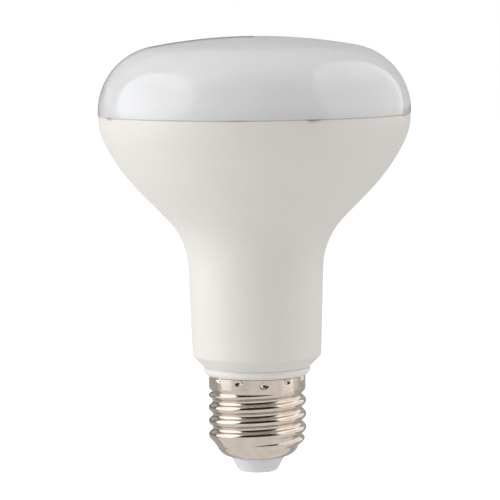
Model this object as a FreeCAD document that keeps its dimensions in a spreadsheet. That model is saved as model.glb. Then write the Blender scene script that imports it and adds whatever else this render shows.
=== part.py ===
"""Reflector bulb with an E27 screw cap, cap down, diffuser up, in millimetres.

The axis is Z and the origin is the lowest point of the centre contact. Every piece is turned
about that axis, so each is a half section in the XZ plane, swept once round. The driving sizes
are in the sheet below, and every sketch and feature is bound to them by name.
"""

import FreeCAD, Part
import os
import re
from math import atan2, cos, degrees, radians, sin, tan

from FreeCAD import Placement, Rotation, Vector
import Sketcher

# Sizes in millimetres and degrees: name, value, what it is
SIZES = [
    ("overall_height", 117.3, "contact face to the crown of the diffuser"),
    ("cover_rise", 21.2, "rim face of the housing to that crown"),
    ("rim_radius", 41.66, "housing at its rim"),
    ("rim_wall", 2.06, "rim of the housing with the clearance inside it"),
    ("shoulder_radius", 16.7, "arc that turns the flank upright"),
    ("shoulder_span", 26.7, "how far that arc turns"),
    ("flank_angle", 44.4, "flank of the reflector, from the axis"),
    ("flank_reach", 13.3, "upper end of the flank, out from the neck's lower end"),
    ("neck_fillet", 20.3, "hollow arc from the neck to the flank"),
    ("neck_draft", 1.8, "taper of the neck, from the axis"),
    ("neck_step", 3.15, "neck at its lower end, out from the foot face"),
    ("foot_corner", 1.2, "arc between the neck and the foot bevel"),
    ("foot_angle", 45.0, "foot bevel, from the axis"),
    ("foot_height", 28.55, "foot face of the housing"),
    ("foot_break", 0.3, "broken edge at the foot face"),
    ("foot_wall", 3.05, "foot face of the housing round its socket"),
    ("foot_setback", 0.1, "foot face in from the collar ring"),
    ("cover_overhang", 0.07, "diffuser at its widest, out from the rim"),
    ("crown_radius", 120.66, "shallow arc of the crown, centred on the axis"),
    ("cover_land", 0.8, "upright band of the diffuser over the seam"),
    ("lip_depth", 2.4, "how far the diffuser's lip goes into the housing"),
    ("lip_clearance", 0.2, "lip to the housing, at its side and end"),
    ("bead_thickness", 0.25, "adhesive in the seam"),
    ("bead_setback", 0.12, "adhesive behind the outer wall"),
    ("boss_length", 5.0, "how far the carrier's boss goes into the housing"),
    ("boss_clearance", 0.1, "boss to the housing, at its side and end"),
    ("collar_overhang", 1.25, "collar ring out from the shell's skirt"),
    ("collar_height", 2.1, "collar ring along the axis"),
    ("collar_bevel", 0.9, "bevel at the lower edge of the collar"),
    ("collar_round", 0.7, "rounding where that bevel meets the side"),
    ("collar_gap", 0.15, "parting line between the collar and the foot"),
    ("thread_radius", 13.12, "crest of the rolled thread, 26.24 across"),
    ("thread_depth", 1.07, "crest to root of the rolled thread"),
    ("thread_cone", 2.4, "rise from the waist to the threaded band"),
    ("thread_runout", 0.6, "cone from the threaded band to the skirt"),
    ("skirt_setback", 0.12, "plain skirt in from the crests"),
    ("skirt_length", 2.4, "plain skirt along the axis"),
    ("sheet", 0.35, "sheet of the screw shell"),
    ("waist_step", 2.12, "waist of the shell, in from the crests"),
    ("waist_height", 7.3, "height where the bowl begins"),
    ("bowl_radius", 4.2, "arc of the bowl in section"),
    ("bowl_lean", 18.0, "how far the bowl leans out at the waist, from the axis"),
    ("mouth_radius", 7.3, "opening of the shell round the insulator"),
    ("shell_clearance", 0.05, "shell to the pieces inside it"),
    ("crimp_count", 12, "crimps round the skirt"),
    ("crimp_drop", 1.3, "crimps below the upper edge of the skirt"),
    ("crimp_punch", 1.1, "radius of the round punch"),
    ("crimp_depth", 0.55, "how deep the punch goes"),
    ("crimp_phase", 8.0, "first crimp, past the X axis"),
    ("tip_height", 0.3, "flat end of the insulator over the contact face"),
    ("tip_taper", 2.45, "insulator's flat end, in from the shell's mouth"),
    ("tip_round", 1.7, "rounding of that end"),
    ("tip_drop", 0.21, "upper end of the insulator's cone, below the mouth"),
    ("flange_setback", 2.0, "hidden flange of the insulator, in from the shell's waist"),
    ("flange_rise", 2.39, "upper face of that flange, above the mouth's inner edge"),
    ("flange_edge", 1.0, "rim of that flange along the axis"),
    ("contact_radius", 2.4, "head of the centre contact"),
    ("contact_head", 0.7, "head of the centre contact along the axis"),
    ("contact_round", 0.25, "rounded edge of the head"),
    ("shank_radius", 0.9, "shank of the centre contact"),
    ("contact_clearance", 0.05, "contact to the insulator"),
]

# Places that more than one piece takes from those sizes
SEAM = "(overall_height - cover_rise)"
COVER_BASE = SEAM + " + bead_thickness"
LIP_END = COVER_BASE + " - lip_depth"
COVER = "(rim_radius + cover_overhang)"
LIP = "(rim_radius - rim_wall)"
SKIRT = "(thread_radius - skirt_setback)"
SKIRT_BORE = SKIRT + " - sheet"
BORE = "(thread_radius - thread_depth - sheet)"
WAIST = "(thread_radius - waist_step)"
COLLAR = "(" + SKIRT + " + collar_overhang)"
COLLAR_TOP = "(foot_height - collar_gap)"
COLLAR_FOOT = COLLAR_TOP + " - collar_height"
SHELL_TOP = COLLAR_FOOT + " - shell_clearance"
SKIRT_FOOT = SHELL_TOP + " - skirt_length"
BAND_TOP = SKIRT_FOOT + " - thread_runout"
CRIMP_LEVEL = SHELL_TOP + " - crimp_drop"
FOOT = "(" + COLLAR + " - foot_setback)"
NECK = "(" + FOOT + " + neck_step)"
FLANK_TOP = NECK + " + flank_reach"
SOCKET = "(" + FOOT + " - foot_wall)"
BOSS = SOCKET + " - boss_clearance"
BOSS_TOP = COLLAR_TOP + " + boss_length"
THREAD_START = "waist_height + thread_cone"
BOWL_X = "(" + WAIST + " - bowl_radius * cos(bowl_lean * 1 deg))"
BOWL_Z = "waist_height + bowl_radius * sin(bowl_lean * 1 deg)"
MOUTH_EDGE = BOWL_Z + " - sqrt(bowl_radius ^ 2 - (mouth_radius - " + BOWL_X + ") ^ 2)"
MOUTH_INSIDE = BOWL_Z + " - sqrt((bowl_radius - sheet) ^ 2 - (mouth_radius - " + BOWL_X + ") ^ 2)"
FLANGE_TOP = MOUTH_INSIDE + " + flange_rise"

AXIS = -2  # the sketch's own upright axis
START, END, CENTRE = 1, 2, 3

doc = FreeCAD.newDocument("reflector_bulb")
sizes = doc.addObject("Spreadsheet::Sheet", "sizes")
for row, (alias, value, meaning) in enumerate(SIZES, start=1):
    sizes.set(f"A{row}", meaning)
    sizes.set(f"B{row}", str(value))
    sizes.setAlias(f"B{row}", alias)
doc.recompute()


def size(expression):
    """The number that an expression in the sheet's names comes to."""
    result = sizes.evalExpression(expression)
    return float(getattr(result, "Value", result))


def bound(expression):
    """The same expression as other objects of the document read it."""
    names = {alias for alias, _, _ in SIZES}
    return re.sub("[a-z_]+", lambda m: "sizes." + m[0] if m[0] in names else m[0], expression)


def new_body(label):
    body = doc.addObject("PartDesign::Body", label)
    body.Label = label
    return body


def new_sketch(body, name):
    """A sketch on the body's own XZ plane: across is the radius, up is the height."""
    sketch = body.newObject("Sketcher::SketchObject", name)
    plane = next(f for f in body.Origin.OriginFeatures if f.Role == "XZ_Plane")
    sketch.AttachmentSupport = (plane, [""])
    sketch.MapMode = "FlatFace"
    return sketch


def measure(sketch, kind, *where, to):
    """One driving constraint, bound to an expression in the sheet's names."""
    value = size(to)
    angular = kind == "Angle"
    driving = Sketcher.Constraint(kind, *where, radians(value) if angular else value)
    index = sketch.addConstraint(driving)
    sketch.setExpression(f"Constraints[{index}]", bound(to))


def place(sketch, geometry, point, across, up):
    """Puts one point of the outline at a named radius and height, or on the axis."""
    if across == "0":
        sketch.addConstraint(Sketcher.Constraint("PointOnObject", geometry, point, AXIS))
    else:
        measure(sketch, "DistanceX", geometry, point, to=across)
    if up == "0":
        sketch.addConstraint(Sketcher.Constraint("PointOnObject", geometry, point, -1))
    else:
        measure(sketch, "DistanceY", geometry, point, to=up)


def straight_outline(sketch, corners):
    """A closed outline of straight edges through corners named by radius and height."""
    points = [Vector(size(across), size(up), 0) for across, up in corners]
    count = len(points)
    for i in range(count):
        sketch.addGeometry(Part.LineSegment(points[i], points[(i + 1) % count]), False)
    for i in range(count):
        sketch.addConstraint(Sketcher.Constraint("Coincident", i, END, (i + 1) % count, START))
    for i, (across, up) in enumerate(corners):
        place(sketch, i, START, across, up)


def chain(sketch, links):
    """Closes an outline from links (geometry, first point, last point), end to start.

    A link that ends with the word smooth is tangent to the one before it.
    """
    for link, following in zip(links, links[1:] + links[:1]):
        kind = "Tangent" if following[3:] == ("smooth",) else "Coincident"
        meeting = link[0], link[2], following[0], following[1]
        sketch.addConstraint(Sketcher.Constraint(kind, *meeting))


def line(sketch, a, b):
    return sketch.addGeometry(Part.LineSegment(Vector(*a, 0), Vector(*b, 0)), False)


def arc(sketch, centre, radius, first, last):
    """An arc counter-clockwise between two angles in degrees."""
    circle = Part.Circle(Vector(*centre, 0), Vector(0, 0, 1), radius)
    return sketch.addGeometry(Part.ArcOfCircle(circle, radians(first), radians(last)), False)


def turned(body, sketch, name, kind="PartDesign::Revolution"):
    """The section swept once round the sketch's upright axis."""
    if sketch.solve() != 0:
        raise RuntimeError(f"{sketch.Name} has no solution: {sketch.solve()}")
    feature = body.newObject(kind, name)
    feature.Profile = sketch
    feature.ReferenceAxis = (sketch, ["V_Axis"])
    feature.Angle = 360
    doc.recompute()
    return feature


def round_edges(body, feature, name, radius, wanted, kind="PartDesign::Fillet"):
    """Rounds or bevels the circular edges of a feature that lie at a named radius and height."""
    spots = [(size(across), size(up)) for across, up in wanted]
    picked = []
    for number, edge in enumerate(feature.Shape.Edges, start=1):
        if not isinstance(edge.Curve, Part.Circle):
            continue
        for across, up in spots:
            if abs(edge.Curve.Radius - across) < 1e-4 and abs(edge.Curve.Center.z - up) < 1e-4:
                picked.append(f"Edge{number}")
    if len(picked) != len(spots):
        raise RuntimeError(f"{name}: found {len(picked)} edges of {len(spots)}")
    rounding = body.newObject(kind, name)
    rounding.Base = (feature, picked)
    measure_name = "Radius" if kind.endswith("Fillet") else "Size"
    rounding.setExpression(measure_name, bound(radius))
    doc.recompute()
    return rounding


def wall_point(centre, radius, lean):
    """A point of a wall's arc where the wall leans out by so many degrees from the axis."""
    return centre[0] + radius * cos(radians(lean)), centre[1] - radius * sin(radians(lean))


def make_housing():
    """The moulded reflector body: foot bevel, neck, hollow fillet, flank, shoulder and rim."""
    body = new_body("housing")
    sketch = new_sketch(body, "housing_section")
    rim = size("rim_radius")
    shoulder, fillet, corner = (
        size(n) for n in ("shoulder_radius", "neck_fillet", "foot_corner")
    )
    flank, draft, span, bevel = (
        size(n) for n in ("flank_angle", "neck_draft", "shoulder_span", "foot_angle")
    )

    # the shoulder hangs from the rim, and the wide breast arc joins it to the flank's upper end
    top = (rim, size(SEAM))
    shoulder_at = (rim - shoulder, top[1])
    joint = wall_point(shoulder_at, shoulder, span)
    breast = (joint[0] - size(FLANK_TOP)) / (cos(radians(span)) - cos(radians(flank)))
    breast_at = (joint[0] - breast * cos(radians(span)), joint[1] + breast * sin(radians(span)))
    flank_top = wall_point(breast_at, breast, flank)

    # the bevel, the corner and the neck stand on the foot
    foot = (size(FOOT), size("foot_height"))
    corner_at_x = size(NECK) - corner * cos(radians(draft))
    bevel_top_x = corner_at_x + corner * cos(radians(bevel))
    bevel_top = (bevel_top_x, foot[1] + (bevel_top_x - foot[0]) / tan(radians(bevel)))
    corner_at = (corner_at_x, bevel_top[1] + corner * sin(radians(bevel)))
    neck_foot = wall_point(corner_at, corner, draft)

    # the hollow fillet touches the neck's line and the flank's line
    across_neck = Vector(cos(radians(draft)), -sin(radians(draft)), 0)
    along_neck = Vector(sin(radians(draft)), cos(radians(draft)), 0)
    across_flank = Vector(cos(radians(flank)), -sin(radians(flank)), 0)
    offset = Vector(*neck_foot, 0) + (across_neck - across_flank) * fillet - Vector(*flank_top, 0)
    rise = -offset.dot(across_flank) / along_neck.dot(across_flank)
    neck_top = Vector(*neck_foot, 0) + along_neck * rise
    fillet_at = neck_top + across_neck * fillet
    flank_foot = fillet_at - across_flank * fillet

    roof_name = BOSS_TOP + " + boss_clearance"
    mouth_name = LIP + " + lip_clearance"
    floor_name = LIP_END + " - lip_clearance"
    socket, socket_roof = size(SOCKET), size(roof_name)
    mouth, floor = size(mouth_name), size(floor_name)

    roof = line(sketch, (0, socket_roof), (socket, socket_roof))
    wall = line(sketch, (socket, socket_roof), (socket, foot[1]))
    foot_face = line(sketch, (socket, foot[1]), foot)
    bevel_line = line(sketch, foot, bevel_top)
    corner_arc = arc(sketch, corner_at, corner, -bevel, -draft)
    neck = line(sketch, neck_foot, (neck_top.x, neck_top.y))
    hollow = arc(sketch, (fillet_at.x, fillet_at.y), fillet, 180 - flank, 180 - draft)
    flank_line = line(sketch, (flank_foot.x, flank_foot.y), flank_top)
    breast_arc = arc(sketch, breast_at, breast, -flank, -span)
    shoulder_arc = arc(sketch, shoulder_at, shoulder, -span, 0)
    rim_face = line(sketch, top, (mouth, top[1]))
    rebate = line(sketch, (mouth, top[1]), (mouth, floor))
    rebate_floor = line(sketch, (mouth, floor), (0, floor))
    core = line(sketch, (0, floor), (0, socket_roof))

    chain(sketch, [
        (roof, START, END), (wall, START, END), (foot_face, START, END), (bevel_line, START, END),
        (corner_arc, START, END, "smooth"), (neck, START, END, "smooth"),
        (hollow, END, START, "smooth"), (flank_line, START, END, "smooth"),
        (breast_arc, START, END, "smooth"), (shoulder_arc, START, END, "smooth"),
        (rim_face, START, END), (rebate, START, END),
        (rebate_floor, START, END), (core, START, END),
    ])
    place(sketch, roof, START, "0", roof_name)
    place(sketch, wall, START, SOCKET, roof_name)
    place(sketch, foot_face, START, SOCKET, "foot_height")
    place(sketch, bevel_line, START, FOOT, "foot_height")
    measure(sketch, "Angle", -1, START, bevel_line, START, to="90 - foot_angle")
    measure(sketch, "Radius", corner_arc, to="foot_corner")
    measure(sketch, "DistanceX", neck, START, to=NECK)
    measure(sketch, "Angle", -1, START, neck, START, to="90 - neck_draft")
    measure(sketch, "Radius", hollow, to="neck_fillet")
    measure(sketch, "Angle", -1, START, flank_line, START, to="90 - flank_angle")
    measure(sketch, "DistanceX", flank_line, END, to=FLANK_TOP)
    measure(sketch, "Radius", shoulder_arc, to="shoulder_radius")
    measure(sketch, "Angle", shoulder_arc, to="shoulder_span")
    measure(sketch, "DistanceY", shoulder_arc, CENTRE, to=SEAM)
    place(sketch, rim_face, START, "rim_radius", SEAM)
    place(sketch, rebate, START, mouth_name, SEAM)
    place(sketch, rebate, END, mouth_name, floor_name)
    place(sketch, core, START, "0", floor_name)
    solid = turned(body, sketch, "housing_turned")
    round_edges(body, solid, "foot_edge", "foot_break", [(FOOT, "foot_height")],
                "PartDesign::Chamfer")
    return body


def make_diffuser_cover():
    """The milky cover: a lip in the housing, an upright land, a corner arc and a shallow crown."""
    body = new_body("diffuser_cover")
    sketch = new_sketch(body, "cover_section")
    radius, crown, top = size(COVER), size("crown_radius"), size("overall_height")
    base, lip, end = size(COVER_BASE), size(LIP), size(LIP_END)
    land_top = base + size("cover_land")

    # the corner arc touches the land's top and, from inside, the crown's arc centred on the axis
    rise = top - land_top
    corner = (radius ** 2 + rise ** 2 - 2 * rise * crown) / (2 * (radius - crown))
    meet = degrees(atan2(land_top - (top - crown), radius - corner))

    lip_end = line(sketch, (0, end), (lip, end))
    lip_side = line(sketch, (lip, end), (lip, base))
    seat = line(sketch, (lip, base), (radius, base))
    land = line(sketch, (radius, base), (radius, land_top))
    corner_arc = arc(sketch, (radius - corner, land_top), corner, 0, meet)
    crown_arc = arc(sketch, (0, top - crown), crown, meet, 90)
    core = line(sketch, (0, top), (0, end))
    chain(sketch, [
        (lip_end, START, END), (lip_side, START, END), (seat, START, END), (land, START, END),
        (corner_arc, START, END, "smooth"), (crown_arc, START, END, "smooth"), (core, START, END),
    ])
    place(sketch, lip_end, START, "0", LIP_END)
    place(sketch, lip_side, START, LIP, LIP_END)
    place(sketch, seat, START, LIP, COVER_BASE)
    place(sketch, land, START, COVER, COVER_BASE)
    sketch.addConstraint(Sketcher.Constraint("Vertical", land))
    measure(sketch, "DistanceY", land, START, land, END, to="cover_land")
    measure(sketch, "Radius", crown_arc, to="crown_radius")
    sketch.addConstraint(Sketcher.Constraint("PointOnObject", crown_arc, CENTRE, AXIS))
    place(sketch, crown_arc, END, "0", "overall_height")
    turned(body, sketch, "cover_turned")
    return body


def make_seam_adhesive():
    """The cured adhesive in the seam, a flat ring round the cover's lip."""
    body = new_body("seam_adhesive")
    sketch = new_sketch(body, "bead_section")
    inside, outside = LIP + " + lip_clearance", "rim_radius - bead_setback"
    straight_outline(sketch, [
        (inside, SEAM),
        (outside, SEAM),
        (outside, COVER_BASE),
        (inside, COVER_BASE),
    ])
    turned(body, sketch, "bead_turned")
    return body


def crimp_section(sketch, radius, outside):
    """Half a round punch mark: its tip towards the axis, its flat side at a named radius."""
    reach_name = SKIRT + " - crimp_depth + crimp_punch"
    reach = size(reach_name)
    depth, level = size(radius), size(CRIMP_LEVEL)
    half = (depth ** 2 - (reach - size(outside)) ** 2) ** 0.5
    spread = degrees(atan2(half, size(outside) - reach))
    curve = arc(sketch, (reach, level), depth, spread, 180)
    flat = line(sketch, (reach - depth, level), (size(outside), level))
    side = line(sketch, (size(outside), level), (size(outside), level + half))
    chain(sketch, [(flat, START, END), (side, START, END), (curve, START, END)])
    measure(sketch, "Radius", curve, to=radius)
    measure(sketch, "DistanceX", curve, CENTRE, to=reach_name)
    measure(sketch, "DistanceY", curve, CENTRE, to=CRIMP_LEVEL)
    measure(sketch, "DistanceY", flat, START, to=CRIMP_LEVEL)
    place(sketch, flat, END, outside, CRIMP_LEVEL)
    sketch.addConstraint(Sketcher.Constraint("Vertical", side))
    return flat


def crimps(body, name, kind, radius, outside):
    """One punch mark turned about its own radial line, and its copies round the skirt."""
    sketch = new_sketch(body, name + "_section")
    flat = crimp_section(sketch, radius, outside)
    mark = body.newObject(kind, name)
    mark.Profile = sketch
    mark.ReferenceAxis = (sketch, [f"Edge{flat + 1}"])
    mark.Angle = 360
    doc.recompute()
    ring = body.newObject("PartDesign::PolarPattern", name + "_ring")
    ring.Originals = [mark]
    upright = next(f for f in body.Origin.OriginFeatures if f.Role == "Z_Axis")
    ring.Axis = (upright, [""])
    ring.Angle = 360
    ring.setExpression("Occurrences", bound("crimp_count"))
    body.Tip = ring
    doc.recompute()
    return ring


def make_cap_carrier():
    """The moulded carrier: a boss in the housing, the collar ring, and the core of the screw cap."""
    body = new_body("cap_carrier")
    sketch = new_sketch(body, "carrier_section")
    core, spigot = BORE + " - shell_clearance", SKIRT_BORE + " - shell_clearance"
    end = FLANGE_TOP + " + shell_clearance"
    straight_outline(sketch, [
        ("0", end),
        (WAIST + " - 3 * sheet", end),
        (core, THREAD_START),
        (core, SKIRT_FOOT + " + shell_clearance"),
        (spigot, SKIRT_FOOT + " + sheet + shell_clearance"),
        (spigot, COLLAR_FOOT),
        (COLLAR, COLLAR_FOOT),
        (COLLAR, COLLAR_TOP),
        (BOSS, COLLAR_TOP),
        (BOSS, BOSS_TOP),
        ("0", BOSS_TOP),
    ])
    solid = turned(body, sketch, "carrier_turned")
    solid = round_edges(body, solid, "collar_break", "foot_break", [(COLLAR, COLLAR_TOP)],
                        "PartDesign::Chamfer")
    solid = round_edges(body, solid, "collar_edge", "collar_bevel", [(COLLAR, COLLAR_FOOT)],
                        "PartDesign::Chamfer")
    round_edges(body, solid, "collar_rounding", "collar_round",
                [(COLLAR, COLLAR_FOOT + " + collar_bevel")])
    before = body.Shape.Volume
    crimps(body, "crimp_seat", "PartDesign::Groove",
           "crimp_punch + sheet + shell_clearance", SKIRT + " - sheet / 2")
    if body.Shape.Volume >= before:
        raise RuntimeError("the crimp seats cut nothing")
    return body


def make_screw_shell():
    """The rolled screw shell: mouth, bowl, threaded band, run-out, plain skirt and twelve crimps.

    The band is plain at the height of the crests, and its wall is as deep as the thread.
    """
    body = new_body("screw_shell")
    sketch = new_sketch(body, "shell_section")
    outer, sheet, lean = size("bowl_radius"), size("sheet"), size("bowl_lean")
    inner, mouth = outer - sheet, size("mouth_radius")
    waist, centre = (size(WAIST), size("waist_height")), (size(BOWL_X), size(BOWL_Z))
    inner_waist = wall_point(centre, inner, lean)
    low, low_inside = size(MOUTH_EDGE), size(MOUTH_INSIDE)
    mouth_lean = degrees(atan2(centre[1] - low, mouth - centre[0]))
    inside_lean = degrees(atan2(centre[1] - low_inside, mouth - centre[0]))
    crest, start, band_top = size("thread_radius"), size(THREAD_START), size(BAND_TOP)
    skirt, top, skirt_foot = size(SKIRT), size(SHELL_TOP), size(SKIRT_FOOT)
    bore, skirt_bore = size(BORE), size(SKIRT_BORE)

    bowl = arc(sketch, centre, outer, -mouth_lean, -lean)
    cone = line(sketch, waist, (crest, start))
    band = line(sketch, (crest, start), (crest, band_top))
    runout = line(sketch, (crest, band_top), (skirt, skirt_foot))
    side = line(sketch, (skirt, skirt_foot), (skirt, top))
    edge = line(sketch, (skirt, top), (skirt_bore, top))
    inside = line(sketch, (skirt_bore, top), (skirt_bore, skirt_foot + sheet))
    ledge = line(sketch, (skirt_bore, skirt_foot + sheet), (bore, skirt_foot))
    band_bore = line(sketch, (bore, skirt_foot), (bore, start - sheet))
    inner_cone = line(sketch, (bore, start - sheet), inner_waist)
    inner_bowl = arc(sketch, centre, inner, -inside_lean, -lean)
    lip = line(sketch, (mouth, low_inside), (mouth, low))
    chain(sketch, [
        (bowl, START, END), (cone, START, END), (band, START, END), (runout, START, END),
        (side, START, END), (edge, START, END), (inside, START, END), (ledge, START, END),
        (band_bore, START, END), (inner_cone, START, END), (inner_bowl, END, START),
        (lip, START, END),
    ])
    place(sketch, bowl, END, WAIST, "waist_height")
    measure(sketch, "Radius", bowl, to="bowl_radius")
    measure(sketch, "DistanceX", bowl, CENTRE, to=BOWL_X)
    sketch.addConstraint(Sketcher.Constraint("Coincident", inner_bowl, CENTRE, bowl, CENTRE))
    measure(sketch, "Radius", inner_bowl, to="bowl_radius - sheet")
    measure(sketch, "DistanceX", bowl, START, to="mouth_radius")
    sketch.addConstraint(Sketcher.Constraint("Vertical", lip))
    place(sketch, band, START, "thread_radius", THREAD_START)
    place(sketch, runout, START, "thread_radius", BAND_TOP)
    place(sketch, side, START, SKIRT, SKIRT_FOOT)
    place(sketch, edge, START, SKIRT, SHELL_TOP)
    place(sketch, inside, START, SKIRT_BORE, SHELL_TOP)
    place(sketch, ledge, START, SKIRT_BORE, SKIRT_FOOT + " + sheet")
    place(sketch, band_bore, START, BORE, SKIRT_FOOT)
    place(sketch, inner_cone, START, BORE, THREAD_START + " - sheet")
    measure(sketch, "DistanceX", inner_cone, END, to=WAIST + " - sheet * cos(bowl_lean * 1 deg)")
    turned(body, sketch, "shell_turned")
    plain = body.Shape.Volume
    crimps(body, "crimp_bump", "PartDesign::Revolution", "crimp_punch + sheet", SKIRT + " - sheet / 2")
    bumped = body.Shape.Volume
    crimps(body, "crimp_dent", "PartDesign::Groove", "crimp_punch", SKIRT + " + sheet")
    if not plain < bumped or not body.Shape.Volume < bumped:
        raise RuntimeError("the crimps changed nothing")
    return body


def make_cap_insulator():
    """The white end of the cap: a cone through the shell's mouth, held by its hidden flange."""
    body = new_body("cap_insulator")
    sketch = new_sketch(body, "insulator_section")
    hole, seat = "shank_radius + contact_clearance", "contact_radius + contact_clearance"
    neck, flange = "mouth_radius - 2 * shell_clearance", WAIST + " - flange_setback"
    tip = "mouth_radius - tip_taper"
    straight_outline(sketch, [
        (hole, "contact_head + contact_clearance"),
        (seat, "contact_head + contact_clearance"),
        (seat, "tip_height"),
        (tip, "tip_height"),
        (neck, MOUTH_EDGE + " - tip_drop"),
        (neck, MOUTH_INSIDE),
        (flange, FLANGE_TOP + " - flange_edge"),
        (flange, FLANGE_TOP),
        (hole, FLANGE_TOP),
    ])
    solid = turned(body, sketch, "insulator_turned")
    round_edges(body, solid, "tip_edge", "tip_round", [(tip, "tip_height")])
    return body


def make_centre_contact():
    """The plated contact: a flat head under the insulator and a shank up through it."""
    body = new_body("centre_contact")
    sketch = new_sketch(body, "contact_section")
    straight_outline(sketch, [
        ("0", "0"),
        ("contact_radius", "0"),
        ("contact_radius", "contact_head"),
        ("shank_radius", "contact_head"),
        ("shank_radius", FLANGE_TOP),
        ("0", FLANGE_TOP),
    ])
    solid = turned(body, sketch, "contact_turned")
    round_edges(body, solid, "head_edge", "contact_round", [("contact_radius", "0")])
    return body


pieces = [
    make_centre_contact(),
    make_cap_insulator(),
    make_screw_shell(),
    make_cap_carrier(),
    make_housing(),
    make_seam_adhesive(),
    make_diffuser_cover(),
]

# The crimps and their seats start a few degrees past the X axis, so both pieces are turned alike
for piece in pieces:
    if piece.Label in ("screw_shell", "cap_carrier"):
        piece.Placement = Placement(Vector(), Rotation(Vector(0, 0, 1), size("crimp_phase")))

doc.recompute()
for thing in doc.Objects:
    if "Invalid" in thing.State or "Error" in thing.State:
        raise RuntimeError(f"{thing.Name} failed: {thing.State}")
os.makedirs("parts", exist_ok=True)
for piece in pieces:
    if piece.Shape.isNull() or not piece.Shape.isValid():
        raise RuntimeError(f"{piece.Label} has no sound shape")
for piece in pieces:
    piece.Shape.exportStep(f"parts/{piece.Label}.step")
    print(f"{piece.Label}: {piece.Shape.Volume:.1f} mm3, {len(piece.Shape.Solids)} solid")
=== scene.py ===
"""Visual model of a reflector bulb with an E27 screw cap, standing cap down in the row frame.

The pieces follow in the order in which the bulb is put together, from the contact under the cap
to the milky diffuser, and after them come the floor, the lights and the camera.
"""

import math

import bmesh
import bpy
from mathutils import Matrix, Vector, noise


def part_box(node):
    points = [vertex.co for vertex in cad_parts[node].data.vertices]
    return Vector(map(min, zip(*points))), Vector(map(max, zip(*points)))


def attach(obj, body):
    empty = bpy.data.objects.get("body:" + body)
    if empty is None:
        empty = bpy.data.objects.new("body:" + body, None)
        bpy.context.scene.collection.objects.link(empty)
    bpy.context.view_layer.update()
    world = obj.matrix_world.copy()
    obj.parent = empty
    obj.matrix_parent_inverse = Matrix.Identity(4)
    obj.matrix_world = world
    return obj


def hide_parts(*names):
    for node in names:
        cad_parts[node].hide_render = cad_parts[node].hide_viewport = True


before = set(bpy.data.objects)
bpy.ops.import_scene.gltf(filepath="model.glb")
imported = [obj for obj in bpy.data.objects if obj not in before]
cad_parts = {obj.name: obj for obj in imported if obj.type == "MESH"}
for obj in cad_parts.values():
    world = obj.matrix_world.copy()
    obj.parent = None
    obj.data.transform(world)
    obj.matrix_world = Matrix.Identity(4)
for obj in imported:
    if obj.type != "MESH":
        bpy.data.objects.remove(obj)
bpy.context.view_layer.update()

# Centre contact. A plated nail with a flat head under the cap and a shank up through the
# insulator. The head is pressed flat and polished, and touches the lamp holder's spring.
MM = 0.001
FULL_TURN = 2 * math.pi
TURN_ARC = Vector((0, -1, 0))  # turns an arc of an outline counter-clockwise
MERGE = 1e-7


class Outline:
    """Half a section in the XZ plane, in millimetres, drawn from its first corner, then turned."""

    def __init__(self, x, z):
        self.mesh = bmesh.new()
        self.pen = self.mesh.verts.new(Vector((x, 0, z)) * MM)

    def line(self, x, z, parts=1):
        """A straight run from the last point to x and z, in equal parts."""
        step = (Vector((x, 0, z)) * MM - self.pen.co) / parts
        for _ in range(parts):
            grown = bmesh.ops.extrude_vert_indiv(self.mesh, verts=[self.pen])
            self.pen = grown["verts"][0]
            bmesh.ops.translate(self.mesh, verts=[self.pen], vec=step)

    def arc(self, x, z, degrees, parts):
        """An arc from the last point round a centre at x and z."""
        swung = bmesh.ops.spin(
            self.mesh, geom=[self.pen], cent=Vector((x, 0, z)) * MM, axis=TURN_ARC,
            angle=math.radians(degrees), steps=parts,
        )
        self.pen = next(part for part in swung["geom_last"] if isinstance(part, bmesh.types.BMVert))

    def turned(self, steps):
        """The section swept once round the bulb's axis, closed at the seam and at its poles."""
        section = self.mesh.verts[:] + self.mesh.edges[:]
        bmesh.ops.spin(
            self.mesh, geom=section, cent=(0, 0, 0), axis=(0, 0, 1),
            angle=FULL_TURN, steps=steps, use_merge=True,
        )
        bmesh.ops.remove_doubles(self.mesh, verts=self.mesh.verts[:], dist=MERGE)
        bmesh.ops.recalc_face_normals(self.mesh, faces=self.mesh.faces[:])
        return self.mesh


def finished(mesh, name, material, stands_for, sharp_angle=40):
    """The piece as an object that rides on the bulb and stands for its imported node."""
    data = bpy.data.meshes.new(name)
    mesh.to_mesh(data)
    mesh.free()
    data.shade_smooth()
    data.set_sharp_from_angle(angle=math.radians(sharp_angle))
    data.materials.append(material)
    piece = bpy.data.objects.new(name, data)
    bpy.context.scene.collection.objects.link(piece)
    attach(piece, "root")
    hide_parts(stands_for)
    return piece


def node(tree, kind, inputs=None, **settings):
    """One shader node. An input given a socket is linked to it, and any other gets its value."""
    made = tree.nodes.new(kind)
    for name, value in settings.items():
        setattr(made, name, value)
    for name, value in (inputs or {}).items():
        if isinstance(value, bpy.types.NodeSocket):
            tree.links.new(value, made.inputs[name])
        else:
            made.inputs[name].default_value = value
    return made


def blended(tree, amount, first, second, blend_type="MIX"):
    """One colour laid over another by an amount."""
    mix = tree.nodes.new("ShaderNodeMix")
    mix.data_type = "RGBA"
    mix.blend_type = blend_type
    sockets = (mix.inputs[0], mix.inputs[6], mix.inputs[7])
    for socket, value in zip(sockets, (amount, first, second)):
        if isinstance(value, bpy.types.NodeSocket):
            tree.links.new(value, socket)
        else:
            socket.default_value = value
    return mix.outputs[2]


def between(tree, value, low, high, to_low=0.0, to_high=1.0):
    """A value carried smoothly from one span to another."""
    made = node(tree, "ShaderNodeMapRange", {
        "Value": value, "From Min": low, "From Max": high, "To Min": to_low, "To Max": to_high,
    }, interpolation_type="SMOOTHSTEP")
    return made.outputs["Result"]


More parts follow.
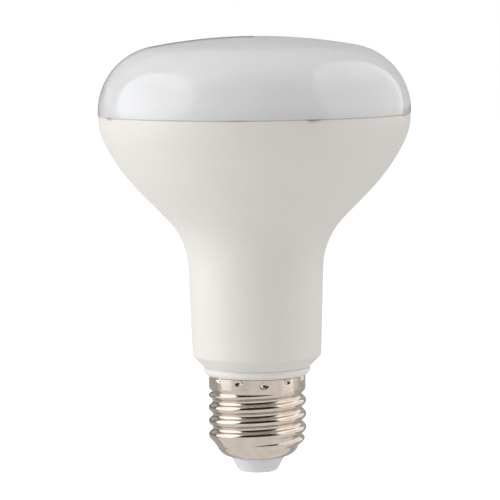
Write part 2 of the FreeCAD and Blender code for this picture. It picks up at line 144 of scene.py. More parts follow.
def maths(tree, kind, first, second):
    """One step of arithmetic on two values."""
    made = tree.nodes.new("ShaderNodeMath")
    made.operation = kind
    for socket, value in zip(made.inputs, (first, second)):
        if isinstance(value, bpy.types.NodeSocket):
            tree.links.new(value, socket)
        else:
            socket.default_value = value
    return made.outputs[0]


def new_group(name, inputs, outputs):
    """An empty shader group with named sockets, each given as (name, kind)."""
    group = bpy.data.node_groups.new(name, "ShaderNodeTree")
    for socket, kind in inputs:
        group.interface.new_socket(socket, in_out="INPUT", socket_type=kind)
    for socket, kind in outputs:
        group.interface.new_socket(socket, in_out="OUTPUT", socket_type=kind)
    given = group.nodes.new("NodeGroupInput").outputs
    return group, given, group.nodes.new("NodeGroupOutput").inputs


def placed(tree, group, inputs):
    """A group's node in a material, with its own values."""
    made = tree.nodes.new("ShaderNodeGroup")
    made.node_tree = group
    for name, value in inputs.items():
        if isinstance(value, bpy.types.NodeSocket):
            tree.links.new(value, made.inputs[name])
        else:
            made.inputs[name].default_value = value
    return made.outputs


def new_material(name):
    """A material's tree, its surface shader and the object's own coordinates."""
    material = bpy.data.materials.new(name)
    material.use_nodes = True
    tree = material.node_tree
    surface = tree.nodes["Principled BSDF"]
    place = tree.nodes.new("ShaderNodeTexCoord").outputs["Object"]
    return material, tree, surface, place


def raised(tree, surface, height, depth):
    """Joins a height in metres to the surface's normal."""
    bump = node(tree, "ShaderNodeBump", {"Height": height, "Distance": depth, "Strength": 1.0})
    tree.links.new(bump.outputs["Normal"], surface.inputs["Normal"])


VALUE, VECTOR = "NodeSocketFloat", "NodeSocketVector"


def make_tooling_group():
    """Lines that rolls and dies leave round the axis of a metal piece, with dull patches."""
    group, given, out = new_group(
        "tooling", [("Place", VECTOR), ("Lines", VALUE), ("Patches", VALUE)],
        [("Line", VALUE), ("Dullness", VALUE)],
    )
    parts = node(group, "ShaderNodeSeparateXYZ", {"Vector": given["Place"]})
    lengthened = node(group, "ShaderNodeCombineXYZ", {
        "X": maths(group, "MULTIPLY", parts.outputs["X"], 0.02),
        "Y": maths(group, "MULTIPLY", parts.outputs["Y"], 0.02),
        "Z": parts.outputs["Z"],
    })
    lines = node(group, "ShaderNodeTexNoise", {
        "Vector": lengthened.outputs["Vector"], "Scale": given["Lines"], "Detail": 4.0,
        "Roughness": 0.65,
    })
    patches = node(group, "ShaderNodeTexNoise", {
        "Vector": given["Place"], "Scale": given["Patches"], "Detail": 5.0, "Roughness": 0.6,
    })
    group.links.new(lines.outputs["Fac"], out["Line"])
    group.links.new(between(group, patches.outputs["Fac"], 0.4, 0.7), out["Dullness"])
    return group


tooling = make_tooling_group()


def plated_metal(name, colour, tarnish, lines, patches, smooth, rough, line_depth):
    """Bright plating over rolled or pressed brass, dulled in patches."""
    material, tree, surface, place = new_material(name)
    marks = placed(tree, tooling, {"Place": place, "Lines": lines, "Patches": patches})
    tone = blended(tree, marks["Dullness"], colour, tarnish)
    lined = blended(tree, between(tree, marks["Line"], 0.35, 0.7, 0.0, 0.25), tone, tarnish)
    tree.links.new(lined, surface.inputs["Base Color"])
    dulled = between(tree, marks["Dullness"], 0.0, 1.0, smooth, rough)
    finish = maths(tree, "ADD", dulled, between(tree, marks["Line"], 0.4, 0.7, 0.0, 0.05))
    tree.links.new(finish, surface.inputs["Roughness"])
    surface.inputs["Metallic"].default_value = 1.0
    raised(tree, surface, marks["Line"], line_depth)
    return material


contact_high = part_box("centre_contact")[1]
contact_radius = contact_high.x / MM
contact_top = contact_high.z / MM
head_height = 0.7
head_rounding = 0.25
shank_radius = 0.9
contact_steps = 96

nail = Outline(0, 0)
nail.line(contact_radius - head_rounding, 0, 4)
nail.arc(contact_radius - head_rounding, head_rounding, 90, 6)
nail.line(contact_radius, head_height)
nail.line(shank_radius, head_height)
nail.line(shank_radius, contact_top)
nail.line(0, contact_top)
contact_plating = plated_metal(
    "contact_plating", (0.66, 0.61, 0.53, 1), (0.42, 0.37, 0.30, 1),
    9000.0, 500.0, 0.16, 0.42, 0.000004,
)
finished(
    nail.turned(contact_steps), "contact_nail", contact_plating, "centre_contact"
)

# Insulator. The white moulded end of the cap, a cone through the shell's mouth with a rounded
# flat end, held inside by its flange. It is a smooth, slightly bluish plastic.
insulator_low, insulator_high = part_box("cap_insulator")
insulator_top = insulator_high.z / MM
flange_radius = insulator_high.x / MM
flat_end = insulator_low.z / MM
hole_radius = 0.95
seat_radius = 2.45
seat_roof = 0.75
end_radius = 5.0
end_rounding = 1.7
cone_radius = 7.2
cone_top = 4.2
cone_band = 0.55
flange_edge = 1.0
insulator_steps = 160


def make_moulding_group():
    """Slow changes of tone and a fine die texture, as on any moulded plastic."""
    group, given, out = new_group(
        "moulding", [("Place", VECTOR), ("Clouds", VALUE), ("Grain", VALUE)],
        [("Tone", VALUE), ("Grain", VALUE)],
    )
    clouds = node(group, "ShaderNodeTexNoise", {
        "Vector": given["Place"], "Scale": given["Clouds"], "Detail": 3.0, "Roughness": 0.55,
    })
    grain = node(group, "ShaderNodeTexNoise", {
        "Vector": given["Place"], "Scale": given["Grain"], "Detail": 2.0, "Roughness": 0.5,
    })
    group.links.new(between(group, clouds.outputs["Fac"], 0.3, 0.7), out["Tone"])
    group.links.new(grain.outputs["Fac"], out["Grain"])
    return group


def make_specks_group():
    """Scattered specks of dust or burnt plastic, a few of the cells of a fine cell pattern."""
    group, given, out = new_group(
        "specks", [("Place", VECTOR), ("Cells", VALUE), ("Size", VALUE), ("Share", VALUE)],
        [("Mask", VALUE)],
    )
    cells = node(group, "ShaderNodeTexVoronoi", {"Vector": given["Place"], "Scale": given["Cells"]})
    parts = node(group, "ShaderNodeSeparateColor", {"Color": cells.outputs["Color"]})
    chosen = maths(group, "LESS_THAN", parts.outputs["Red"], given["Share"])
    reach = maths(group, "MULTIPLY", given["Size"], parts.outputs["Green"])
    near = maths(group, "LESS_THAN", cells.outputs["Distance"], reach)
    group.links.new(maths(group, "MULTIPLY", chosen, near), out["Mask"])
    return group


moulding = make_moulding_group()
specks = make_specks_group()


def white_plastic(
    name, colour, shade, speck, clouds, grain, grain_depth, smooth, rough, clouded=0.3
):
    """White plastic with faint clouds, fine texture and a few specks. Light enters it a little."""
    material, tree, surface, place = new_material(name)
    surface.inputs["Subsurface Weight"].default_value = clouded
    surface.inputs["Subsurface Radius"].default_value = (1.0, 0.9, 0.8)
    surface.inputs["Subsurface Scale"].default_value = 0.0025
    body = placed(tree, moulding, {"Place": place, "Clouds": clouds, "Grain": grain})
    dust = placed(tree, specks, {"Place": place, "Cells": 260.0, "Size": 0.11, "Share": 0.10})
    tone = blended(tree, body["Tone"], colour, shade)
    speckled = blended(tree, maths(tree, "MULTIPLY", dust["Mask"], 0.6), tone, speck)
    tree.links.new(speckled, surface.inputs["Base Color"])
    dulled = between(tree, body["Tone"], 0.0, 1.0, smooth, rough)
    tree.links.new(dulled, surface.inputs["Roughness"])
    raised(tree, surface, body["Grain"], grain_depth)
    return material


cone = Outline(seat_radius, seat_roof)
cone.line(seat_radius, flat_end)
slope = math.atan2(cone_radius - end_radius, cone_top - flat_end)
set_back = end_rounding * math.tan((math.pi / 2 - slope) / 2)
cone.line(end_radius - set_back, flat_end, 3)
cone.arc(end_radius - set_back, flat_end + end_rounding, 90 - math.degrees(slope), 10)
cone.line(cone_radius, cone_top, 6)
cone.line(cone_radius, cone_top + cone_band, 2)
cone.line(flange_radius, insulator_top - flange_edge)
cone.line(flange_radius, insulator_top)
cone.line(hole_radius, insulator_top)
cone.line(hole_radius, seat_roof)
cone.line(seat_radius, seat_roof)
insulator_plastic = white_plastic(
    "insulator_plastic", (0.76, 0.775, 0.78, 1), (0.735, 0.75, 0.76, 1), (0.40, 0.38, 0.35, 1),
    120.0, 4000.0, 0.000006, 0.24, 0.34,
)
finished(
    cone.turned(insulator_steps), "tip_insulator", insulator_plastic, "cap_insulator"
)

# Screw shell. Thin nickel-plated sheet drawn to a cup, its mouth curled in round the insulator. A
# rounded thread is rolled in, which ends in a nearly level groove under the plain skirt, and
# punch marks fix that skirt to the carrier.
shell_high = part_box("screw_shell")[1]
shell_top = shell_high.z / MM
crest_radius = shell_high.x / MM
root_radius = 12.05
pitch = 3.629
sheet = 0.35
mouth_radius = 7.3
waist_radius = 11.0
waist_height = 7.3
bowl_radius = 4.2
bowl_lean = 18.0
rise_height = 2.7
skirt_radius = 13.0
skirt_start = 21.3
skirt_blend = 1.2
waist_blend = 0.8
band_top = 23.15
crest_round = 1.15
root_round = 0.92
roll_angle = math.radians(58)
dip_height = 21.25
dip_climb = 0.75
dip_reach = 1.15
dip_share = 0.8
dip_from, dip_to = -40.0, 250.0
dip_fade_in, dip_fade_out = 50.0, 60.0
root_height = 10.32
run_in = (-300.0, 20.0)
run_out = (1085.0, 1150.0)
crimp_lifts = (0.9, 0.5, 0.3, 0.0, 0.4, 0.8, 1.2, 1.25, 0.6, 0.0, 0.55, 1.2)
crimp_height = 25.0
crimp_phase = 8.0
punch_radius = 1.1
punch_depth = 0.55
bowl_rows, band_rows, skirt_rows = 12, 112, 28
shell_steps = 288


def eased(share):
    """A smooth step from 0 to 1."""
    held = min(max(share, 0.0), 1.0)
    return held * held * (3 - 2 * held)


def blank_radius(z):
    """The drawn cup before rolling: up from the waist to the crests, then the plain skirt."""
    risen = min(max((z - waist_height) / rise_height, 0.0), 1.0)
    band = waist_radius + (crest_radius - waist_radius) * math.sin(risen * math.pi / 2)
    return band + (skirt_radius - band) * eased((z - skirt_start) / skirt_blend)


def grooved(off):
    """The groove's depth at a distance from its root: a tight arc, a flank and the crest's arc."""
    away = min(abs(off), pitch / 2)
    to_crest = pitch / 2 - away
    depth = crest_radius - root_radius
    if to_crest < crest_round * math.sin(roll_angle):
        return crest_round - math.sqrt(crest_round ** 2 - to_crest ** 2)
    if away < root_round * math.sin(roll_angle):
        return depth - root_round + math.sqrt(root_round ** 2 - away ** 2)
    run = away - root_round * math.sin(roll_angle)
    return depth - root_round * (1 - math.cos(roll_angle)) - run * math.tan(roll_angle)


def rolled_radius(angle, z):
    """The radius after rolling, at an angle in degrees from X and a height.

    The helix and the level groove over it merge where they cross, without an edge.
    """
    climbed = (z - root_height) / pitch * 360
    turns = round((climbed - angle) / 360)
    along = angle + 360 * turns
    off = z - root_height - pitch * along / 360
    begun = eased((along - run_in[0]) / (run_in[1] - run_in[0]))
    ended = eased((run_out[1] - along) / (run_out[1] - run_out[0]))
    helix = grooved(off) * begun * ended * eased((z - waist_height) / waist_blend)
    swing = (angle - dip_from) % 360 + dip_from
    away = min(abs(z - dip_height - dip_climb * swing / 180) / dip_reach, 1.0)
    level = dip_share * grooved(away * pitch / 2)
    level *= eased((swing - dip_from) / dip_fade_in) * eased((dip_to - swing) / dip_fade_out)
    return blank_radius(z) - math.hypot(helix ** 2, level ** 2) ** 0.5


def punched(radius, angle, z, tool_radius):
    """A radius as the round punches leave it, each of them at a height of its own."""
    step = 360 / len(crimp_lifts)
    nearest = round((angle - crimp_phase) / step)
    aside = angle - crimp_phase - nearest * step
    height = crimp_height + crimp_lifts[nearest % len(crimp_lifts)]
    centre = skirt_radius - punch_depth + punch_radius
    across = centre * math.sin(math.radians(aside))
    inside = tool_radius ** 2 - across ** 2 - (z - height) ** 2
    if inside <= 0:
        return radius
    return min(radius, centre * math.cos(math.radians(aside)) - math.sqrt(inside))


def reshaped(mesh, lowest, radius_at):
    """Moves each point above a height in or out to the radius that a formula gives it."""
    for point in mesh.verts:
        z = point.co.z / MM
        if z > lowest:
            angle = math.degrees(math.atan2(point.co.y, point.co.x)) % 360
            wanted = radius_at(angle, z, point.co.xy.length / MM)
            point.co.xy = point.co.xy.normalized() * wanted * MM


bowl_x = waist_radius - bowl_radius * math.cos(math.radians(bowl_lean))
bowl_z = waist_height + bowl_radius * math.sin(math.radians(bowl_lean))
mouth_z = bowl_z - math.sqrt(bowl_radius ** 2 - (mouth_radius - bowl_x) ** 2)
mouth_lean = math.degrees(math.atan2(bowl_z - mouth_z, mouth_radius - bowl_x))
cup = Outline(mouth_radius, mouth_z)
cup.arc(bowl_x, bowl_z, mouth_lean - bowl_lean, bowl_rows)
cup.line(crest_radius, band_top, band_rows)
cup.line(skirt_radius, shell_top, skirt_rows)
shell = cup.turned(shell_steps)
reshaped(shell, waist_height + 0.01, lambda angle, z, radius: punched(
    rolled_radius(angle, z), angle, z, punch_radius))
bmesh.ops.solidify(shell, geom=shell.faces[:], thickness=sheet * MM)
nickel = plated_metal(
    "nickel_plating", (0.67, 0.59, 0.52, 1), (0.60, 0.52, 0.45, 1),
    5000.0, 260.0, 0.08, 0.15, 0.0000015,
)
finished(shell, "rolled_shell", nickel, "screw_shell")

# Cap carrier. White plastic with the collar ring that shows between the housing and the shell,
# a boss pressed up into the housing and a core that the shell is punched on to.
carrier_low, carrier_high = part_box("cap_carrier")
boss_top = carrier_high.z / MM
core_end = carrier_low.z / MM
collar_radius = carrier_high.x / MM
housing_low, housing_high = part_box("housing")
foot_height = housing_low.z / MM
collar_gap = 0.006
collar_height = 2.1
collar_break = 0.02
collar_bevel = 0.9
collar_round = 0.7
boss_radius = 11.0
core_radius = 11.65
core_start = 9.7
core_nose = 9.95
spigot_radius = 12.6
spigot_foot = 24.25
clearance = 0.05
carrier_steps = 300
collar_top = foot_height - collar_gap
collar_foot = collar_top - collar_height

tuck = collar_round * math.tan(math.radians(22.5))
bevel_end = collar_foot + collar_bevel
carrier = Outline(0, core_end)
carrier.line(core_nose, core_end)
carrier.line(core_radius, core_start)
carrier.line(core_radius, spigot_foot - sheet, 4)
carrier.line(spigot_radius, spigot_foot)
carrier.line(spigot_radius, collar_foot, 12)
carrier.line(collar_radius - collar_bevel, collar_foot, 2)
bevel_reach = tuck * math.cos(math.radians(45))
carrier.line(collar_radius - bevel_reach, bevel_end - bevel_reach, 2)
carrier.arc(collar_radius - collar_round, bevel_end + tuck, 45, 6)
carrier.line(collar_radius, collar_top - collar_break, 2)
carrier.line(collar_radius - collar_break, collar_top)
carrier.line(boss_radius, collar_top, 2)
carrier.line(boss_radius, boss_top)
carrier.line(0, boss_top)
moulded_carrier = carrier.turned(carrier_steps)
reshaped(moulded_carrier, spigot_foot, lambda angle, z, radius: (
    punched(radius, angle, z, punch_radius + sheet + clearance) if z < collar_foot else radius))
collar_plastic = white_plastic(
    "collar_plastic", (0.885, 0.855, 0.805, 1), (0.87, 0.835, 0.785, 1), (0.45, 0.40, 0.34, 1),
    90.0, 3000.0, 0.000008, 0.30, 0.42, clouded=0.25,
)
finished(
    moulded_carrier, "carrier_moulding", collar_plastic, "cap_carrier", sharp_angle=50
)

# Housing. The matte white moulded reflector body, a neck that opens through a hollow curve into
# a straight flank and a full shoulder, pressed over the carrier's boss at its foot.
rim_radius = housing_high.x / MM
seam_height = housing_high.z / MM
shoulder_radius = 16.7
shoulder_span = 26.7
flank_reach = 13.3
flank_angle = 44.4
neck_fillet = 20.3
neck_draft = 1.8
neck_radius = 17.3
foot_corner = 1.2
foot_angle = 45.0
foot_radius = 14.15
foot_break = 0.02
socket_radius = 11.1
socket_depth = 4.95
lip_pocket = 39.8
pocket_depth = 2.35
pocket_ease = 0.2
housing_steps = 320


def wall_point(centre, radius, lean):
    """A point of a wall's arc where the wall leans out by so many degrees from the axis."""
    swing = math.radians(lean)
    return centre[0] + radius * math.cos(swing), centre[1] - radius * math.sin(swing)


shoulder_at = (rim_radius - shoulder_radius, seam_height)
shoulder_end = wall_point(shoulder_at, shoulder_radius, shoulder_span)
breast_radius = (shoulder_end[0] - neck_radius - flank_reach) / (
    math.cos(math.radians(shoulder_span)) - math.cos(math.radians(flank_angle))
)
breast_at = (
    shoulder_end[0] - breast_radius * math.cos(math.radians(shoulder_span)),
    shoulder_end[1] + breast_radius * math.sin(math.radians(shoulder_span)),
)
flank_top = wall_point(breast_at, breast_radius, flank_angle)
corner_x = neck_radius - foot_corner * math.cos(math.radians(neck_draft))
bevel_top_x = corner_x + foot_corner * math.cos(math.radians(foot_angle))
bevel_top_z = foot_height + (bevel_top_x - foot_radius) / math.tan(math.radians(foot_angle))
corner_z = bevel_top_z + foot_corner * math.sin(math.radians(foot_angle))
neck_foot = Vector(wall_point((corner_x, corner_z), foot_corner, neck_draft))

across_neck = Vector((math.cos(math.radians(neck_draft)), -math.sin(math.radians(neck_draft))))
along_neck = Vector((-across_neck.y, across_neck.x))
across_flank = Vector((math.cos(math.radians(flank_angle)), -math.sin(math.radians(flank_angle))))
offset = neck_foot + (across_neck - across_flank) * neck_fillet - Vector(flank_top)
neck_top = neck_foot + along_neck * (-offset.dot(across_flank) / along_neck.dot(across_flank))
fillet_at = neck_top + across_neck * neck_fillet

break_x = foot_radius - foot_break
wall = Outline(0, foot_height + socket_depth)
wall.line(socket_radius, foot_height + socket_depth)
wall.line(socket_radius, foot_height)
wall.line(break_x, foot_height)
break_rise = foot_break * math.cos(math.radians(foot_angle))
wall.line(foot_radius + break_rise, foot_height + break_rise)
wall.line(bevel_top_x, bevel_top_z, 3)
wall.arc(corner_x, corner_z, foot_angle - neck_draft, 8)
wall.line(neck_top.x, neck_top.y, 14)
wall.arc(fillet_at.x, fillet_at.y, neck_draft - flank_angle, 28)
wall.line(*flank_top, 8)
wall.arc(*breast_at, flank_angle - shoulder_span, 24)
wall.arc(*shoulder_at, shoulder_span, 26)
wall.line(lip_pocket, seam_height)
wall.line(lip_pocket, seam_height - pocket_depth + pocket_ease)
wall.line(0, seam_height - pocket_depth + pocket_ease)


squeeze_places = (  # angle, half width and amount of each
    (204.5, 5.0, 0.9), (262.0, 9.0, 0.3), (291.5, 4.5, 1.0), (342.0, 7.0, 0.5),
    (35.0, 6.0, 0.7), (118.0, 9.0, 0.5), (160.0, 4.0, 0.8),
)
smear_height = 1.0
rim_tint_height = 11


def squeezed(angle):
    """How far adhesive has come out of the seam at an angle in degrees, from 0 to 1."""
    swing = math.radians(angle)
    ragged = noise.noise(Vector((math.cos(swing), math.sin(swing), 0.4)) * 22)
    most = 0.0
    for place, half_width, amount in squeeze_places:
        aside = abs((angle - place + 180) % 360 - 180)
        most = max(most, amount * eased(1 - aside / half_width))
    return most * (1 + 0.5 * ragged)


def marked(mesh, amount_at):
    """Stores on each point how much adhesive is there, for the material to colour."""
    layer = mesh.verts.layers.float.new("adhesive")
    for point in mesh.verts:
        angle = math.degrees(math.atan2(point.co.y, point.co.x))
        point[layer] = amount_at(angle, point.co.z / MM)


def housing_plastic():
    """Matte warm white, warmer and darker in streaks near the rim, and smeared with adhesive."""
    material, tree, surface, place = new_material("housing_plastic")
    body = placed(tree, moulding, {"Place": place, "Clouds": 45.0, "Grain": 2600.0})
    dust = placed(tree, specks, {"Place": place, "Cells": 170.0, "Size": 0.085, "Share": 0.12})
    tone = blended(tree, body["Tone"], (0.805, 0.78, 0.738, 1), (0.79, 0.763, 0.72, 1))

    height = node(tree, "ShaderNodeSeparateXYZ", {"Vector": place}).outputs["Z"]
    streaks = node(tree, "ShaderNodeTexNoise", {
        "Vector": place, "Scale": 95.0, "Detail": 4.0, "Roughness": 0.6,
    }).outputs["Fac"]
    # Near the rim the base colour turns warmer and darker in soft streaks.
    near_rim = between(tree, height, (seam_height - rim_tint_height) * MM, seam_height * MM)
    rim_tint_amount = maths(tree, "MULTIPLY", near_rim, between(tree, streaks, 0.25, 0.8, 0.1, 0.4))
    rim_tinted_tone = blended(tree, rim_tint_amount, tone, (0.74, 0.665, 0.61, 1))
    adhesive = node(tree, "ShaderNodeAttribute", attribute_name="adhesive").outputs["Fac"]
    smeared = blended(
        tree, between(tree, adhesive, 0.05, 0.9, 0.0, 0.75), rim_tinted_tone, (0.47, 0.36, 0.25, 1)
    )
    speckle = maths(tree, "MULTIPLY", dust["Mask"], 0.35)
    speckled = blended(tree, speckle, smeared, (0.45, 0.40, 0.34, 1))
    tree.links.new(speckled, surface.inputs["Base Color"])
    dulled = between(tree, body["Tone"], 0.0, 1.0, 0.42, 0.56)
    tree.links.new(dulled, surface.inputs["Roughness"])
    raised(tree, surface, body["Grain"], 0.000012)
    return material


reflector = wall.turned(housing_steps)
marked(reflector, lambda angle, z: squeezed(angle) * eased(1 - (seam_height - z) / smear_height))
finished(reflector, "reflector_housing", housing_plastic(), "housing")

# Seam adhesive. A bead of brownish silicone between the housing's rim and the diffuser, mostly
# just behind the wall, and squeezed out to the surface in a few places.
bead_low, bead_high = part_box("seam_adhesive")
bead_foot = bead_low.z / MM
bead_top = bead_high.z / MM
bead_radius = bead_high.x / MM
bead_bulge = 0.1
squeeze_depth = 0.3
squeeze_proud = 0.03
cover_low, cover_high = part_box("diffuser_cover")
cover_radius = cover_high.x / MM
bead_steps = 900

bead = Outline(lip_pocket, bead_foot)
bead.line(bead_radius - bead_bulge, bead_foot, 2)
bead.line(bead_radius, (bead_foot + bead_top) / 2, 2)
bead.line(bead_radius - bead_bulge, bead_top, 2)
bead.line(lip_pocket, bead_top, 2)
bead.line(lip_pocket, bead_foot)
cured_bead = bead.turned(bead_steps)
for point in cured_bead.verts:
    outer = (point.co.xy.length / MM - bead_radius + squeeze_depth) / squeeze_depth
    if outer > 0:
        angle = math.degrees(math.atan2(point.co.y, point.co.x))
        grown = squeezed(angle) * (rim_radius + squeeze_proud - bead_radius)
        point.co.xy = point.co.xy.normalized() * (point.co.xy.length + grown * outer * MM)
marked(cured_bead, lambda angle, z: squeezed(angle))


def cured_adhesive():
    """Silicone, cloudy and pale, and brown where it is thick."""
    material, tree, surface, place = new_material("cured_adhesive")
    clouds = node(tree, "ShaderNodeTexNoise", {
        "Vector": place, "Scale": 90.0, "Detail": 4.0, "Roughness": 0.6,
    }).outputs["Fac"]
    thick = node(tree, "ShaderNodeAttribute", attribute_name="adhesive").outputs["Fac"]
    brown = between(tree, maths(tree, "ADD", thick, clouds), 0.55, 1.2)
    tone = blended(tree, brown, (0.70, 0.665, 0.62, 1), (0.36, 0.26, 0.17, 1))
    tree.links.new(tone, surface.inputs["Base Color"])
    tree.links.new(between(tree, clouds, 0.3, 0.7, 0.25, 0.45), surface.inputs["Roughness"])
    raised(tree, surface, clouds, 0.00003)
    return material


finished(cured_bead, "cured_bead", cured_adhesive(), "seam_adhesive")

# Diffuser. A thick, milky moulded cover with a lip in the housing, an upright land over the seam,
# a corner arc and a shallow crown. Its surface is glossy, with a trace of orange peel.
cover_foot = cover_low.z / MM
lip_radius = 39.6
land_height = 0.8
crown_radius = 148.0
crown_settling = 0.25
edge_round = 0.15
painted_light_height = 14
shallow_height = 12
cover_steps = 360

land_top = bead_top + land_height
crown_top = cover_high.z / MM - crown_settling
rise = crown_top - land_top
cover_corner = (cover_radius ** 2 + rise ** 2 - 2 * rise * crown_radius) / (
    2 * (cover_radius - crown_radius)
)
corner_across = cover_radius - cover_corner
meeting = math.degrees(math.atan2(crown_radius - rise, corner_across))
cover = Outline(0, cover_foot)
cover.line(lip_radius, cover_foot)
cover.line(lip_radius, bead_top)
cover.line(cover_radius - edge_round, bead_top)
cover.arc(cover_radius - edge_round, bead_top + edge_round, 90, 4)
cover.line(cover_radius, land_top, 2)
cover.arc(corner_across, land_top, meeting, 44)
cover.arc(0, crown_top - crown_radius, 90 - meeting, 26)


def milky_plastic():
    """Milky plastic, glossy outside, a little cloudy, with a few specks of dust.

    Light spreads far inside it, and less near the seam, where the cover is backed by its lip.
    Its base colour is painted lighter towards the seam, painted light for the cover's inner glow.
    """
    material, tree, surface, place = new_material("milky_plastic")
    body = placed(tree, moulding, {"Place": place, "Clouds": 38.0, "Grain": 420.0})
    dust = placed(tree, specks, {"Place": place, "Cells": 150.0, "Size": 0.07, "Share": 0.08})
    cloudy = blended(tree, body["Tone"], (0.845, 0.845, 0.85, 1), (0.83, 0.83, 0.835, 1))
    height = node(tree, "ShaderNodeSeparateXYZ", {"Vector": place}).outputs["Z"]
    # Painted light: the base colour turns lighter over the lowest part of the cover, by the seam.
    painted_light_mask = between(tree, height, (bead_top + painted_light_height) * MM, bead_top * MM)
    tone = blended(tree, painted_light_mask, cloudy, (0.98, 0.98, 0.98, 1))
    depth = between(tree, height, bead_top * MM, (bead_top + shallow_height) * MM, 0.5, 1.0)
    speckle = maths(tree, "MULTIPLY", dust["Mask"], 0.5)
    speckled = blended(tree, speckle, tone, (0.42, 0.40, 0.38, 1))
    tree.links.new(speckled, surface.inputs["Base Color"])
    dulled = between(tree, body["Tone"], 0.0, 1.0, 0.03, 0.045)
    tree.links.new(dulled, surface.inputs["Roughness"])
    tree.links.new(depth, surface.inputs["Subsurface Weight"])
    surface.inputs["Subsurface Radius"].default_value = (1.0, 1.0, 1.0)
    surface.inputs["Subsurface Scale"].default_value = 0.06
    surface.inputs["IOR"].default_value = 1.55
    raised(tree, surface, body["Grain"], 0.000004)
    return material


finished(cover.turned(cover_steps), "milky_diffuser", milky_plastic(), "diffuser_cover")

# Floor. A plain pale sweep well below the cap, because the bulb hangs by its cap in the frame.
# It shows white to the camera where no shadow falls.
floor_height = -0.12
floor_size = 24.0
floor_lift = 0.85


def from_camera(tree):
    """1 where the camera itself sees the background, and 0 for every other ray."""
    return node(tree, "ShaderNodeLightPath").outputs["Is Camera Ray"]


floor_mesh = bmesh.new()
bmesh.ops.create_grid(floor_mesh, x_segments=1, y_segments=1, size=floor_size / 2)
bmesh.ops.translate(floor_mesh, verts=floor_mesh.verts[:], vec=(0, 0, floor_height))
floor_data = bpy.data.meshes.new("floor")
floor_mesh.to_mesh(floor_data)
floor_mesh.free()
floor = bpy.data.objects.new("floor", floor_data)
bpy.context.scene.collection.objects.link(floor)
floor_paper, floor_tree, floor_surface, _ = new_material("floor_paper")
floor_surface.inputs["Base Color"].default_value = (0.92, 0.92, 0.92, 1)
floor_surface.inputs["Roughness"].default_value = 0.9
floor_surface.inputs["Emission Color"].default_value = (1, 1, 1, 1)
floor_tree.links.new(
    maths(floor_tree, "MULTIPLY", from_camera(floor_tree), floor_lift),
    floor_surface.inputs["Emission Strength"],
)
floor_data.materials.append(floor_paper)

# Studio. Two large round softboxes, the brighter on the left, with a small fill light beside it
# and one in front, a broad light overhead and soft light all round. Cards that only the glossy
# surfaces mirror stand for the dark room in front, the pale table, the walls and the ceiling.
target = Vector((0, 0, 60 * MM))


def softbox(name, azimuth, elevation, diameter, radiance, colour):
    """A round light a metre away. Azimuth turns from the camera's side to the right."""
    lamp = bpy.data.lights.new(name, "AREA")
    lamp.shape = "DISK"
    lamp.size = diameter
    lamp.energy = radiance * math.pi * (math.pi / 4 * diameter ** 2)
    lamp.color = colour
    holder = bpy.data.objects.new(name, lamp)
    turn, lift = math.radians(azimuth), math.radians(elevation)
    away = Vector((
        math.sin(turn) * math.cos(lift), -math.cos(turn) * math.cos(lift), math.sin(lift)
    ))
    holder.location = target + away
    holder.rotation_euler = away.to_track_quat("Z", "Y").to_euler()
    holder.visible_camera = False
    bpy.context.scene.collection.objects.link(holder)
    return holder


softbox("left_softbox", -85, 20, 1.4, 1.52, (0.975, 0.985, 1.0))
left_fill = softbox("left_fill", -77, 12, 0.5, 3.25, (0.975, 0.985, 1.0))
left_fill.visible_glossy = False
softbox("right_softbox", 97, 18, 2.0, 0.97, (1.0, 0.98, 0.965))
softbox("top_light", 0, 86, 1.5, 0.15, (0.98, 0.985, 1.0))
front_fill = softbox("front_fill", 0, 50, 1.0, 1.12, (0.99, 0.99, 1.0))
front_fill.visible_glossy = False


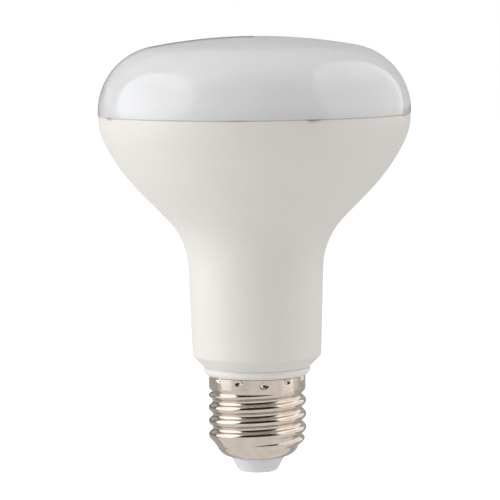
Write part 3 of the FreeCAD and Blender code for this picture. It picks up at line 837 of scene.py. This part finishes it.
def card(name, width, depth, centre, shade, upright=False):
    """A flat card, lying or upright across the view, that only mirrors in the glossy surfaces."""
    card_mesh = bmesh.new()
    bmesh.ops.create_grid(card_mesh, x_segments=1, y_segments=1, size=0.5)
    tilt = Matrix.Rotation(math.pi / 2 if upright else 0.0, 4, "X")
    spread = Matrix.Diagonal((width, depth, 1, 1))
    bmesh.ops.transform(
        card_mesh, matrix=Matrix.Translation(centre) @ tilt @ spread, verts=card_mesh.verts[:]
    )
    data = bpy.data.meshes.new(name)
    card_mesh.to_mesh(data)
    card_mesh.free()
    board = bpy.data.objects.new(name, data)
    bpy.context.scene.collection.objects.link(board)
    paint, _, surface, _ = new_material(name)
    surface.inputs["Base Color"].default_value = (0, 0, 0, 1)
    surface.inputs["Specular IOR Level"].default_value = 0.0
    surface.inputs["Emission Color"].default_value = (shade, shade, shade, 1)
    surface.inputs["Emission Strength"].default_value = 1.0
    data.materials.append(paint)
    board.visible_camera = False
    board.visible_diffuse = False
    board.visible_shadow = False
    board.visible_transmission = False


card("room_in_front", 2.75, 3.5, (-0.07, -1.5, 1.79), 0.03, upright=True)
card("ceiling", 9.0, 8.0, (0, 1.8, 3.6), 0.6)
card("wall_behind", 5.0, 3.7, (2.5, 5.0, 1.85), 0.5, upright=True)
card("wall_behind_left", 5.0, 2.95, (-2.5, 5.0, 2.225), 0.5, upright=True)
card("table_in_front", 5.0, 1.9, (0, -0.85, -0.115), 0.88)
card("table_behind", 5.0, 1.9, (0, 1.05, -0.115), 0.50)

world = bpy.data.worlds.new("studio")
bpy.context.scene.world = world
world.use_nodes = True
world_tree = world.node_tree
world_tree.nodes.clear()
ambient = 0.18
surround = between(world_tree, from_camera(world_tree), 0.0, 1.0, ambient, 1.0)
background = node(world_tree, "ShaderNodeBackground", {"Color": (1, 1, 1, 1), "Strength": surround})
node(world_tree, "ShaderNodeOutputWorld", {"Surface": background.outputs["Background"]})

# Camera. A long lens a little above the bulb, looking slightly down, as the photograph was taken.
camera_distance = 820 * MM
camera_height = 130.9 * MM
aim_height = 59.9 * MM
aim_aside = -1.55 * MM
camera_roll = math.radians(0.62)
focal_pixels = 3075
photo_pixels = 500

lens = bpy.data.cameras.new("camera")
lens.sensor_width = 36
lens.lens = focal_pixels / photo_pixels * lens.sensor_width
lens.clip_start = 0.01
lens.clip_end = 50
camera = bpy.data.objects.new("camera", lens)
camera.location = (0, -camera_distance, camera_height)
look = Vector((aim_aside, 0, aim_height)) - camera.location
turned_to = look.to_track_quat("-Z", "Y").to_matrix() @ Matrix.Rotation(-camera_roll, 3, "Z")
camera.rotation_euler = turned_to.to_euler()
bpy.context.scene.collection.objects.link(camera)
bpy.context.scene.camera = camera
bpy.context.scene.view_settings.view_transform = "Standard"
